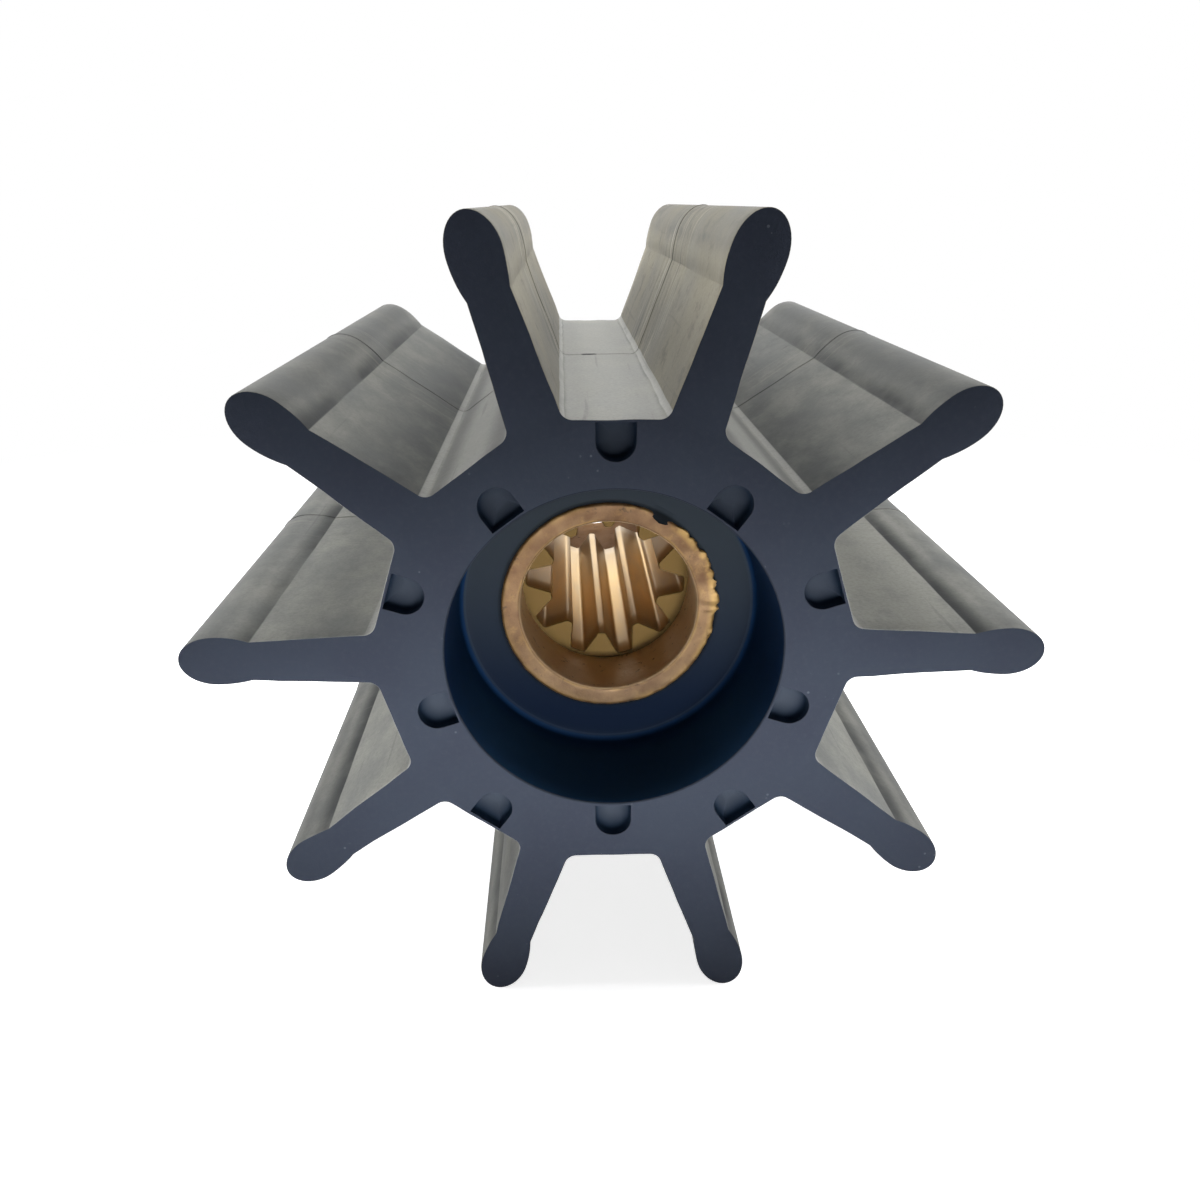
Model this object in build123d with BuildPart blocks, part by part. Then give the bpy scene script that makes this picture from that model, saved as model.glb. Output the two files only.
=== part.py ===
"""Flexible pump impeller: ten rubber blades moulded round a splined bronze insert.

The impeller turns about the Y axis and its centre is the origin. The end face
that takes the shaft looks towards -Y. Two blades lie level along X, so the
impeller can rest on the tips of its two lowest blades. Lengths are in
millimetres and angles in degrees.
"""
from build123d import *
import os

# ------------------------------------------------------------- overall form
tip_diameter = 95.2        # over the blade tips
body_length = 96.0         # rubber body, end face to end face
blade_count = 10

# ------------------------------------------------------------------- blades
root_thickness = 5.9       # where a blade leaves the hub
neck_thickness = 4.5       # thinnest place, at the crease below the bulb
neck_to_tip = 8.0          # from the neck crease out to the tip
bulb_thickness = 5.6       # thickest place of the tip bulb
bulb_to_tip = 4.1          # from the bulb's thickest place out to the tip

# --------------------------------------------------------------- rubber hub
hub_across_flats = 51.6    # across two opposite valley floors
root_fillet = 1.7          # between valley floor and blade
recess_diameter = 37.2     # end recess, measured at the end face
recess_draft = 1.5         # slope of the recess wall
recess_bevel = 0.8         # bevel between recess wall and recess floor

# --------------------------------------------------------- end-face pockets
pocket_width = 4.1
pocket_length = 4.3        # from the valley floor or recess rim to the round end
pocket_depth = 3.0
pocket_web = 0.4           # rubber left between a pocket and the floor or rim
pocket_bottom_bevel = 1.0

# ------------------------------------------------------------- bronze insert
insert_diameter = 26.3
insert_proud = 0.4         # how far the insert stands out of the recess floor
front_sink = 15.0          # insert face below the front end face
back_sink = 6.0            # insert face below the back end face
counterbore_diameter = 21.7
front_counterbore = 10.0   # depth of the counterbore from the insert's front face
back_counterbore = 19.0    # depth of the counterbore from the insert's back face
rim_chamfer = 0.3

# ---------------------------------------------------------- internal spline
tooth_count = 10
spline_major_diameter = 20.6
spline_minor_diameter = 14.5
tooth_base_width = 4.6
tooth_tip_width = 0.9
tooth_tip_round = 0.3
spline_phase = -3.0        # turn of the lowest tooth from straight down

# ------------------------------------------------------------ derived values
tip_radius = tip_diameter / 2
neck_station = tip_radius - neck_to_tip
bulb_station = tip_radius - bulb_to_tip
flat_radius = hub_across_flats / 2
recess_radius = recess_diameter / 2
insert_radius = insert_diameter / 2
major_radius = spline_major_diameter / 2
minor_radius = spline_minor_diameter / 2
valley_angle = 360 / blade_count
outward_count = (blade_count + 1) // 2
inward_count = blade_count // 2

# The ends of the body look along -Y and +Y. Both planes have +Z up.
front_face = Plane((0, -body_length / 2, 0), x_dir=(1, 0, 0), z_dir=(0, -1, 0))
back_face = Plane((0, body_length / 2, 0), x_dir=(-1, 0, 0), z_dir=(0, 1, 0))
insert_front = front_face.offset(-front_sink)
insert_back = back_face.offset(-back_sink)
insert_length = body_length - front_sink - back_sink

# -------------------------------------------------------------- blade section
# Half of a blade in section: a flank that tapers to the neck crease, an arc that
# swells into the bulb and an elliptical nose. The root end lies inside the hub.
with BuildSketch() as blade_section:
    with BuildLine():
        root = Line((flat_radius / 2, 0), (flat_radius / 2, root_thickness / 2))
        stem = Line(root @ 1, (flat_radius, root_thickness / 2))
        flank = Line(stem @ 1, (neck_station, neck_thickness / 2))
        swell = TangentArc(
            (bulb_station, bulb_thickness / 2), flank @ 1, tangent=(-1, 0)
        )
        nose = EllipticalCenterArc(
            (bulb_station, 0), bulb_to_tip, bulb_thickness / 2, arc_size=90
        )
        mirror(about=Plane.XZ)
    make_face()


# -------------------------------------------------------------------- cutters
def end_recess(depth):
    """The recess of one end, below z = 0, with a drafted wall and a bevelled corner."""
    with BuildPart() as cutter:
        with BuildSketch(Plane.XZ) as half_section:
            with BuildLine():
                wall = PolarLine(
                    (recess_radius, 0), depth, recess_draft - 90, length_mode=LengthMode.VERTICAL
                )
                Polyline(wall @ 1, (0, -depth), (0, 0), wall @ 0)
            make_face()
            corner = half_section.vertices().group_by(Axis.Y)[0].sort_by(Axis.X)[-1]
            chamfer(corner, recess_bevel)
        revolve(axis=Axis.Z)
    return cutter.part


def end_pocket(round_end, square_end):
    """A pocket along X below z = 0, round at one end and square at the other."""
    towards = 1 if square_end > round_end else -1
    middle = round_end + towards * pocket_width / 2
    with BuildPart() as cutter:
        with BuildSketch():
            with Locations((middle, 0)):
                Circle(pocket_width / 2)
            with Locations(((middle + square_end) / 2, 0)):
                Rectangle(abs(square_end - middle), pocket_width)
        extrude(amount=-pocket_depth)
        chamfer(cutter.edges().group_by(Axis.Z)[0], pocket_bottom_bevel)
    return cutter.part


# Every other pocket lies close behind a valley floor. The ones between lie close
# round the rim of the recess. Only a thin web of rubber closes their square ends.
outward_pocket = end_pocket(flat_radius - pocket_length, flat_radius - pocket_web)
inward_pocket = end_pocket(recess_radius + pocket_length, recess_radius + pocket_web)

# ---------------------------------------------------------------- rubber body
with BuildPart() as rubber_body:
    with BuildSketch(front_face) as star_section:
        RegularPolygon(flat_radius, blade_count, major_radius=False)
        with PolarLocations(0, blade_count):
            add(blade_section.sketch)
        fillet(star_section.vertices().group_by(SortBy.DISTANCE)[0], root_fillet)
    extrude(amount=-body_length)

    for end, sink in ((front_face, front_sink), (back_face, back_sink)):
        with Locations(end):
            add(end_recess(sink + insert_proud), mode=Mode.SUBTRACT)
            with PolarLocations(
                0, outward_count, valley_angle / 2, 2 * valley_angle * outward_count
            ):
                add(outward_pocket, mode=Mode.SUBTRACT)
            with PolarLocations(
                0, inward_count, valley_angle * 1.5, 2 * valley_angle * inward_count
            ):
                add(inward_pocket, mode=Mode.SUBTRACT)

    with BuildSketch(front_face):
        Circle(insert_radius)
    extrude(amount=-body_length, mode=Mode.SUBTRACT)

# -------------------------------------------------------------- bronze insert
with BuildSketch() as tooth_section:
    with BuildLine():
        base_radius = (major_radius + insert_radius) / 2
        side = Polyline(
            (base_radius, tooth_base_width / 2),
            (major_radius, tooth_base_width / 2),
            (minor_radius, tooth_tip_width / 2),
            (minor_radius, -tooth_tip_width / 2),
            (major_radius, -tooth_base_width / 2),
            (base_radius, -tooth_base_width / 2),
            close=True,
        )
    make_face()
    fillet(tooth_section.vertices().group_by(Axis.X)[0], tooth_tip_round)

with BuildPart() as splined_insert:
    with BuildSketch(insert_front):
        Circle(insert_radius)
        Circle(major_radius, mode=Mode.SUBTRACT)
        with PolarLocations(0, tooth_count, spline_phase - 90):
            add(tooth_section.sketch)
    extrude(amount=-insert_length)

    for end, depth in ((insert_front, front_counterbore), (insert_back, back_counterbore)):
        with BuildSketch(end):
            Circle(counterbore_diameter / 2)
        extrude(amount=-depth, mode=Mode.SUBTRACT)

    rims = splined_insert.faces().sort_by(Axis.Y)
    chamfer(rims[0].edges() + rims[-1].edges(), rim_chamfer)

rubber_body.part.label = "rubber_body"
splined_insert.part.label = "splined_insert"

os.makedirs("parts", exist_ok=True)
export_step(rubber_body.part, "parts/rubber_body.step")
export_step(splined_insert.part, "parts/splined_insert.step")
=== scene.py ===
"""Flexible pump impeller: moulded rubber body, splined bronze insert and a studio stage.

The shaft runs along Y and the end face that takes the shaft looks towards -Y. All
lengths in the code are metres.
"""
import math

import bmesh
import bpy
from mathutils import Matrix, Vector


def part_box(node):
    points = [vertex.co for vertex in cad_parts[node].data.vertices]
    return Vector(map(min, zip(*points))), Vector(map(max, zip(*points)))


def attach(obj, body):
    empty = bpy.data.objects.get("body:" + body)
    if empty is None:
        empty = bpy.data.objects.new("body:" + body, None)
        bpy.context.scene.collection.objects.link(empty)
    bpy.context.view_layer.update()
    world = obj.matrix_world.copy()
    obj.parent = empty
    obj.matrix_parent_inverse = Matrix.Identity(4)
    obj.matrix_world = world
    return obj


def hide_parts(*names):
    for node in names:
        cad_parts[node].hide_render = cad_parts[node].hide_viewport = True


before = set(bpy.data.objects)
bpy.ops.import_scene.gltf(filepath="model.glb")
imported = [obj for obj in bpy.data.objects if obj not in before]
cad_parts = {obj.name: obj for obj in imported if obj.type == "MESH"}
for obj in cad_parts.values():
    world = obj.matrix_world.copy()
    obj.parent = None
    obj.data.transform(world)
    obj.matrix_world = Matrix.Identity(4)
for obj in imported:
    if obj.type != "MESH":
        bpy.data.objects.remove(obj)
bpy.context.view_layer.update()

bl_info = {
    "name": "Pump impeller",
    "version": (1, 0, 0),
    "blender": (4, 5, 0),
    "location": "3D View > Sidebar > Impeller",
    "description": "Builds a moulded rubber pump impeller with a splined bronze insert",
    "category": "Object",
}

MM = 0.001
BODY_LOW, BODY_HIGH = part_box("rubber_body")
INSERT_LOW, INSERT_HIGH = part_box("splined_insert")
END = BODY_HIGH.y  # from the middle to either end face


# ------------------------------------------------------------------ properties
def length(name, description, millimetres):
    """A length property whose default is given in millimetres."""
    return bpy.props.FloatProperty(
        name=name, description=description, default=millimetres * MM, precision=5, unit="LENGTH"
    )


def angle(name, description, degrees):
    """An angle property whose default is given in degrees."""
    return bpy.props.FloatProperty(
        name=name, description=description, default=math.radians(degrees), subtype="ANGLE"
    )


def copies(name, description, default):
    """How often a form is repeated round the shaft."""
    return bpy.props.IntProperty(name=name, description=description, default=default, min=4)


def power(name, description, watts):
    """A lamp's power."""
    return bpy.props.FloatProperty(
        name=name, description=description, default=watts, min=0, subtype="POWER"
    )


def share(name, description, default):
    """A strength from 0 to 1."""
    return bpy.props.FloatProperty(
        name=name, description=description, default=default, min=0, max=1, subtype="FACTOR"
    )


def paint(name, description, *parts):
    """A colour property whose default is given as it looks on screen, from 0 to 255."""
    return bpy.props.FloatVectorProperty(
        name=name, description=description, subtype="COLOR", size=3, min=0, max=1,
        default=[screen_to_light(part / 255) for part in parts],
    )


def screen_to_light(part):
    return part / 12.92 if part <= 0.04045 else ((part + 0.055) / 1.055) ** 2.4


class RubberBodySizes(bpy.types.PropertyGroup):
    """Sizes and colours of the rubber body."""

    blade_count: copies("Blades", "Number of blades round the hub", 10)
    tip_radius: length("Tip radius", "From the shaft's middle to a blade tip", 47.5)
    root_thickness: length("Root thickness", "Blade thickness at the hub", 5.9)
    neck_thickness: length("Neck thickness", "Blade thickness at the crease", 4.5)
    neck_to_tip: length("Neck to tip", "From the crease out to the tip", 7.9)
    bulb_thickness: length("Bulb thickness", "Thickest place of the tip bulb", 5.6)
    bulb_to_tip: length("Bulb to tip", "From the thickest place out to the tip", 4.0)
    flat_radius: length("Valley radius", "From the shaft's middle to a valley floor", 25.8)
    root_fillet: length("Root fillet", "Rounding between valley floor and blade", 1.4)
    end_rounding: length("End rounding", "Worn edge of the ground end faces", 0.1)
    recess_radius: length("Recess radius", "End recess at the end face", 18.6)
    recess_draft: angle("Recess draft", "Slope of the recess wall", 1.5)
    recess_corner: length("Recess corner", "Rounding at the recess floor", 0.8)
    front_recess: length("Front recess", "Depth of the front recess", 15.4)
    back_recess: length("Back recess", "Depth of the back recess", 6.4)
    pocket_width: length("Pocket width", "Width of an end-face pocket", 4.1)
    pocket_length: length("Pocket length", "From floor or rim to the round end", 4.3)
    pocket_depth: length("Pocket depth", "Depth of an end-face pocket", 3.0)
    pocket_web: length("Pocket web", "Rubber left at a pocket's square end", 0.3)
    pocket_rounding: length("Pocket rounding", "Rounding along a pocket's bottom", 1.8)
    seam_place: length("Seam place", "Place of the parting seam along the shaft", 0.6)
    seam_width: length("Seam width", "Width of the parting seam's ridge", 0.5)
    seam_height: length("Seam height", "How far the parting seam stands out", 0.09)
    unevenness: length("Unevenness", "How far the moulded skin strays from its form", 0.16)
    creep: length("Creep", "How far rubber has crept over the insert's rim", 0.9)
    creep_place: angle("Creep place", "Where the rubber has crept over the rim", 61.0)
    ground_colour: paint("Ground colour", "End faces", 50, 56, 68)
    bloom_colour: paint("Bloom colour", "Pale bloom on the moulded sides", 156, 156, 149)
    smudge_colour: paint("Smudge colour", "Bare rubber between the bloom", 122, 124, 121)
    recess_colour: paint("Recess colour", "Recess walls and pockets", 15, 40, 70)


class BronzeInsertSizes(bpy.types.PropertyGroup):
    """Sizes and colours of the splined insert."""

    tooth_count: copies("Teeth", "Number of spline teeth", 10)
    outer_radius: length("Outer radius", "Radius of the insert", 13.15)
    counterbore_radius: length("Counterbore radius", "Radius of both counterbores", 10.85)
    major_radius: length("Major radius", "Bottom of the gaps between teeth", 10.3)
    minor_radius: length("Minor radius", "Crest of the teeth", 7.25)
    base_width: length("Tooth base width", "Tooth width at the major radius", 4.6)
    crest_width: length("Tooth crest width", "Tooth width at the minor radius", 0.9)
    crest_rounding: length("Crest rounding", "Rounding of the tooth crest", 0.42)
    gap_rounding: length("Gap rounding", "Rounding at the bottom of the gaps", 0.45)
    spline_half: length("Spline half length", "From the middle to the teeth's ends", 23.0)
    rim_rounding: length("Rim rounding", "Worn edges of the rim", 0.35)
    spline_phase: angle("Spline phase", "Turn of the lowest tooth from straight down", -3.0)
    rim_wear: length("Rim wear", "Unevenness of the cast rim", 0.16)
    flash: length("Flash", "Torn flash along one side of the front rim", 0.55)
    bronze_colour: paint("Bronze colour", "Cast rim and counterbore", 104, 79, 50)
    stain_colour: paint("Stain colour", "Browner places of the casting", 88, 61, 36)
    end_colour: paint("Tooth end colour", "Dull ends of the teeth", 84, 66, 34)
    scuff_colour: paint("Scuff colour", "Bright scuffs on the rim", 180, 148, 82)
    tooth_colour: paint("Tooth colour", "Cut teeth", 232, 194, 124)
    tarnish_colour: paint("Tarnish colour", "Dark tarnish and rubber residue", 62, 44, 28)


class StageSettings(bpy.types.PropertyGroup):
    """Floor, lamps and camera."""

    floor_colour: paint("Floor colour", "Studio floor", 244, 244, 246)
    top_lamp: power("Top lamp", "Power of the soft lamp above", 3.2)
    side_lamps: power("Side lamps", "Power of each soft lamp at the sides", 3.4)
    back_lamp: power("Back lamp", "Power of the soft lamp behind", 0.8)
    front_lamp: power("Front lamp", "Power of the low soft lamp in front", 0.022)
    floor_lift: share("Floor lift", "How much the floor is lifted towards white", 0.81)
    front_shade: share("Front shade", "How much of the room's light is from the front", 0.0)
    room_light: share("Room light", "Strength of the light all round", 0.2)


# ----------------------------------------------------------------------- nodes
def put(name, data):
    """A new object in the scene."""
    item = bpy.data.objects.new(name, data)
    bpy.context.scene.collection.objects.link(item)
    return item


def empty_tree(owner):
    """The node tree of a material or world, without the nodes that it starts with."""
    owner.use_nodes = True
    owner.node_tree.nodes.clear()
    return owner.node_tree


def tint(colour):
    """A colour of three parts with a fourth added; a socket stays as it is."""
    if isinstance(colour, bpy.types.NodeSocket):
        return colour
    return (*colour[:3], 1.0)


class Bench:
    """Adds and joins the nodes of one tree, for shapes and finishes alike."""

    def __init__(self, tree):
        self.tree = tree

    def add(self, kind, values=None, **settings):
        node = self.tree.nodes.new(kind)
        for name, value in settings.items():
            setattr(node, name, value)
        for socket, value in (values or {}).items():
            self.feed(node.inputs[socket], value)
        return node

    def made(self, kind, values=None, **settings):
        """The first output of a new node."""
        return self.add(kind, values, **settings).outputs[0]

    def feed(self, socket, value):
        """Joins a socket to another one, or gives it a plain value."""
        if isinstance(value, bpy.types.NodeSocket):
            self.tree.links.new(value, socket)
        else:
            socket.default_value = value

    def work(self, operation, *terms):
        return self.made("ShaderNodeMath", dict(enumerate(terms)), operation=operation)

    def times(self, first, *others):
        """All the values multiplied together."""
        for other in others:
            first = self.work("MULTIPLY", first, other)
        return first

    def apart(self, first, second):
        """How far one value is from the other."""
        return self.work("ABSOLUTE", self.work("SUBTRACT", first, second))

    def vector(self, operation, *terms):
        node = self.add("ShaderNodeVectorMath", dict(enumerate(terms)), operation=operation)
        return node.outputs["Value" if operation == "LENGTH" else "Vector"]

    def ease(self, value, start, end, low=0.0, high=1.0):
        """Goes smoothly from low to high as value goes from start to end."""
        values = {0: value, 1: start, 2: end, 3: low, 4: high}
        return self.made("ShaderNodeMapRange", values, interpolation_type="SMOOTHSTEP")


class Finish(Bench):
    """A procedural finish on Object coordinates, built up coat by coat."""

    def __init__(self, name, colour):
        self.material = bpy.data.materials.new(name)
        super().__init__(empty_tree(self.material))
        self.colour = colour
        self.normal = None
        self.place = self.add("ShaderNodeTexCoord").outputs["Object"]
        self.x, self.y, self.z = self.add("ShaderNodeSeparateXYZ", {0: self.place}).outputs
        square = self.work("MULTIPLY_ADD", self.z, self.z, self.times(self.x, self.x))
        self.radius = self.work("SQRT", square)
        self.angle = self.work("ARCTAN2", self.z, self.x)

    def stretched(self, along_x, along_y, along_z, shift=0.0):
        """Object coordinates, scaled differently along each axis."""
        return self.made(
            "ShaderNodeMapping",
            {"Vector": self.place, "Location": (shift, shift, shift),
             "Scale": (along_x, along_y, along_z)},
        )

    def grain(self, scale, detail=4.0, roughness=0.55, place=None, distortion=0.0):
        return self.made(
            "ShaderNodeTexNoise",
            {"Vector": place or self.place, "Scale": scale, "Detail": detail,
             "Roughness": roughness, "Distortion": distortion},
        )

    def blend(self, factor, first, second):
        # Sockets 6 and 7 and output 2 are the Mix node's colours.
        colours = {0: factor, 6: tint(first), 7: tint(second)}
        return self.add("ShaderNodeMix", colours, data_type="RGBA").outputs[2]

    def coat(self, tone, *masks):
        """Lays a tone over the colour so far, as strongly as the masks say together."""
        self.colour = self.blend(self.times(*masks), self.colour, tone)

    def bump(self, height, distance, strength):
        """Adds a bump on top of those added before it."""
        values = {"Height": height, "Distance": distance, "Strength": strength}
        if self.normal is not None:
            values["Normal"] = self.normal
        self.normal = self.made("ShaderNodeBump", values)

    def close(self, roughness, metallic=0.0, specular=0.5, dust=0.0):
        shader = self.made("ShaderNodeBsdfPrincipled", {
            "Base Color": self.colour, "Roughness": roughness, "Normal": self.normal,
            "Metallic": metallic, "Specular IOR Level": specular,
            "Sheen Weight": dust, "Sheen Roughness": 0.5,
        })
        self.add("ShaderNodeOutputMaterial", {0: shader})
        return self.material


# -------------------------------------------------------------------- finishes
# Tones of the coats, in linear light.
BARE_RUBBER = (0.050, 0.053, 0.054)
PAINTED_FOOT_SHADE = (0.028, 0.032, 0.034)
FLOOR_BLOOM_AND_LIGHT = (0.42, 0.42, 0.40)
FILLET_HIGHLIGHT = (0.36, 0.36, 0.345)
TOP_FILLET_HIGHLIGHT = (0.52, 0.52, 0.50)
WARM_BLOOM = (0.37, 0.335, 0.240)
BLOTCH = (0.09, 0.085, 0.075)
PALE_LINE = (0.5, 0.47, 0.38)
SEAM_DARK = (0.02, 0.02, 0.022)
SCUFF_DARK = (0.015, 0.015, 0.017)
DARK_CLOUD = (0.030, 0.036, 0.054)
GROUND_GRAIN = (0.045, 0.052, 0.068)
PALE_SPECK = (0.22, 0.24, 0.27)
GROUND_LIP = (0.022, 0.027, 0.038)
RECESS_CLOUD = (0.002, 0.010, 0.030)
PAINTED_LOW_WALL_LIGHT = (0.024, 0.075, 0.165)
POCKET_GREY = (0.022, 0.038, 0.066)
PAINTED_POCKET_FLOOR_LIGHT = (0.052, 0.062, 0.082)
SHADED_LOW_RECESS_FLOOR = (0.0010, 0.0052, 0.0165)
LIT_HIGH_RECESS_FLOOR = (0.025, 0.032, 0.040)
PAINTED_RING_HIGHLIGHT = (0.028, 0.042, 0.062)
PAINTED_GAP_SHADE = (0.002, 0.003, 0.004)
BORE_BRONZE = (0.72, 0.52, 0.31)
SHADED_FAR_BORE_BRONZE = (0.36, 0.18, 0.055)
LOW_RIM_BRONZE = (0.045, 0.030, 0.013)
DULL_TOOTH = (0.66, 0.48, 0.25)


class MouldedSides(Finish):
    """The moulded sides' finish: where its coats go, and each of them."""

    def __init__(self, sizes):
        super().__init__("moulded_rubber", sizes.smudge_colour)
        self.sizes = sizes
        self.neck = sizes.tip_radius - sizes.neck_to_tip
        self.flat = sizes.flat_radius + 0.7 * MM
        self.foot = sizes.flat_radius + 1.5 * MM
        self.pitch = math.tau / sizes.blade_count
        self.upright = self.apart(self.angle, math.pi / 2)
        self.top_valley = self.ease(self.upright, math.radians(20), math.radians(17))
        from_side = self.apart(self.upright, self.pitch)
        self.side_valley = self.ease(from_side, math.radians(21), math.radians(14))
        self.flank = self.ease(self.radius, self.foot - 0.25 * MM, self.foot)
        self.beyond_neck = self.ease(self.radius, self.neck - 0.12 * MM, self.neck + 0.05 * MM)
        drift = self.work("MULTIPLY_ADD", self.grain(60, 2), 0.6 * MM, self.y)
        self.from_seam = self.apart(drift, sizes.seam_place + 0.3 * MM)
        self.along = self.stretched(1.0, 0.6, 1.0)
        self.patches = self.grain(170, 5, 0.62, self.stretched(1.0, 0.5, 1.0, 0.3))
        clouds = self.grain(38, 3, 0.5, self.along)
        self.wiped = self.work("MULTIPLY_ADD", self.patches, 0.6, self.times(clouds, 0.4))

    def bloom(self):
        """Pale bloom, smudged, and warmer with dark blotches on the topmost blades."""
        self.coat(self.sizes.bloom_colour, self.ease(self.wiped, 0.36, 0.62))
        clouds = self.ease(self.grain(45, 3), 0.3, 0.6, 0.5, 1.0)
        warm = self.times(self.ease(self.upright, 0.50, 0.34), clouds, self.flank)
        self.coat(WARM_BLOOM, warm, 0.85)
        blotches = self.grain(300, 5, 0.7, self.stretched(1, 0.7, 1, 0.4))
        self.coat(BLOTCH, self.ease(blotches, 0.52, 0.68, 0.0, 0.5), warm)

    def foot_shade_and_bare_bulbs(self):
        """Painted shade at the upper blades' feet, and bulbs rubbed darker by running dry."""
        mottle = self.ease(self.patches, 0.3, 0.7, 1.0, 0.75)
        # Painted shade at the feet of the blades round the upper valleys, darkest near the floor.
        down = self.ease(self.radius, self.neck + 0.5 * MM, self.foot + 1.5 * MM, 0.36, 1.0)
        thin = self.work("MULTIPLY_ADD", self.side_valley, 0.88, self.times(self.top_valley, 0.4))
        self.coat(PAINTED_FOOT_SHADE, thin, down, self.flank, mottle)
        bulb = self.ease(self.radius, self.neck + 1.5 * MM, self.neck + 4.0 * MM, 0.0, 0.56)
        self.coat(BARE_RUBBER, bulb, mottle)

    def valley_floors(self):
        """Floors pale from bloom and painted light, painted shade beside the blade roots, and a
        crisp painted highlight along each root fillet.
        """
        # The floors are paler: bloom gathered there, and painted light.
        floor = self.ease(self.radius, self.flat, self.flat - 0.25 * MM)
        self.coat(FLOOR_BLOOM_AND_LIGHT, floor, 0.6)
        # Painted shade on each floor beside the blade roots, stronger in the upper side valleys.
        turn = self.work("FRACT", self.work("DIVIDE", self.angle, self.pitch))
        beside = self.ease(self.apart(turn, 0.5), 0.06, 0.25)
        root_shade_strength = self.work("MULTIPLY_ADD", self.side_valley, 0.38, 0.14)
        self.coat(BARE_RUBBER, beside, root_shade_strength, floor)
        # A painted highlight along each root fillet, brighter in the topmost valley.
        begins = self.ease(self.radius, self.flat, self.flat + 0.1 * MM)
        ends = self.ease(self.radius, self.foot, self.foot - 0.12 * MM, 0.0, 0.7)
        patchy = self.ease(self.grain(120, 3), 0.3, 0.5, 0.6, 1.0)
        tone = self.blend(self.top_valley, FILLET_HIGHLIGHT, TOP_FILLET_HIGHLIGHT)
        self.coat(tone, begins, ends, patchy)

    def creases(self):
        """Painted shade in the creases below the bulbs, fading outwards, with dark patches spread
        over them.
        """
        # Painted shade along each crease, broken up by noise, fading outwards and faint on the
        # topmost blades.
        wobble = self.work("MULTIPLY_ADD", self.grain(160, 3), 0.8 * MM, -0.4 * MM)
        reach = self.work("ADD", self.radius, wobble)
        fade = self.ease(reach, self.neck + 0.3 * MM, self.neck + 3.2 * MM, 1.0, 0.0)
        smudged = self.ease(self.grain(70, 4, 0.6, self.along), 0.36, 0.60, 0.45, 1.0)
        faint_on_top = self.ease(self.upright, 0.40, 0.55, 0.2, 1.0)
        self.coat(BARE_RUBBER, self.beyond_neck, fade, smudged, faint_on_top)
        # Dark noise patches near the neck, on both sides of it.
        neck_patches = self.grain(55, 5, 0.65, self.stretched(1, 1, 1, 0.13))
        near = self.ease(self.apart(self.radius, self.neck), 6 * MM, 1 * MM)
        self.coat(BARE_RUBBER, self.ease(neck_patches, 0.60, 0.74, 0.0, 0.75), near)

    def witness_lines(self):
        """Pale and dark lines beside the seam, strongest on the topmost blades."""
        lines = self.grain(900, 3, 0.7, self.stretched(0.05, 1.0, 0.05, 0.21), 0.3)
        shown = self.times(
            self.ease(self.from_seam, 26 * MM, 4 * MM),
            self.ease(self.grain(70, 3), 0.34, 0.54),
            self.work("MULTIPLY_ADD", self.top_valley, 0.62, 0.12),
            self.flank,
        )
        self.coat(BARE_RUBBER, self.ease(lines, 0.56, 0.66), shown)
        self.coat(PALE_LINE, self.ease(lines, 0.44, 0.36), shown)

    def seam(self):
        """The parting seam: a thin dark line, broken in places and fainter towards -X."""
        line = self.ease(self.from_seam, 0.30 * MM, 0.10 * MM)
        kept = self.ease(self.x, -12 * MM, 2 * MM, 0.25, 1.0)
        kept = self.work("MAXIMUM", kept, self.beyond_neck)
        broken = self.ease(self.grain(100, 4, 0.65), 0.42, 0.62, 0.06, 0.85)
        line = self.times(line, kept, broken)
        self.coat(SEAM_DARK, line)
        return line

    def marks(self):
        """A scuff across the seam on the topmost valley floor, scratches and powder."""
        middle = (-1.4 * MM, 0.5 * MM, self.sizes.flat_radius - 0.2 * MM)
        scuff = self.vector("SUBTRACT", self.place, middle)
        scuff = self.vector("LENGTH", self.vector("MULTIPLY", scuff, (1000, 2200, 1000)))
        scuff = self.work("MULTIPLY_ADD", self.grain(900, 3, 0.7), 1.6, scuff)
        self.coat(SCUFF_DARK, self.ease(scuff, 2.1, 1.6, 0.0, 0.9))
        scratches = self.grain(900, 2, 0.5, self.stretched(1.0, 0.03, 1.0))
        self.coat(BARE_RUBBER, self.ease(scratches, 0.66, 0.72), 0.2)
        self.coat(BARE_RUBBER, self.ease(self.grain(2400, 3, 0.7), 0.35, 0.75, 0.0, 0.22))


def moulded_rubber(sizes):
    """Moulded sides: black rubber under a pale, smudged bloom, with the parting seam."""
    f = MouldedSides(sizes)
    f.bloom()
    f.foot_shade_and_bare_bulbs()
    f.valley_floors()
    f.creases()
    f.witness_lines()
    line = f.seam()
    f.marks()
    f.bump(f.grain(2600, 3), 0.03 * MM, 0.6)
    f.bump(f.grain(240, 4, 0.6, f.along), 0.2 * MM, 0.4)
    f.bump(f.work("SUBTRACT", 1.0, line), 0.06 * MM, 0.6)
    return f.close(f.ease(f.wiped, 0.36, 0.62, 0.7, 0.9), specular=0.15, dust=0.12)


def ground_rubber(sizes):
    """End faces: dark ground rubber with fine grain and a few pale specks."""
    f = Finish("ground_rubber", sizes.ground_colour)
    f.coat(DARK_CLOUD, f.ease(f.grain(120, 4, 0.6), 0.35, 0.7))
    f.coat(GROUND_GRAIN, f.ease(f.grain(1500, 4, 0.7), 0.45, 0.75), 0.3)
    specks = f.made("ShaderNodeTexVoronoi", {"Vector": f.place, "Scale": 900})
    chance = f.ease(f.grain(150, 2), 0.6, 0.66)
    f.coat(PALE_SPECK, f.ease(specks, 0.16, 0.096), chance, 0.25)
    f.bump(f.grain(3200, 4, 0.7), 0.04 * MM, 0.7)
    f.bump(f.grain(420, 3), 0.1 * MM, 0.4)
    return f.close(0.75, specular=0.12)


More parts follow.
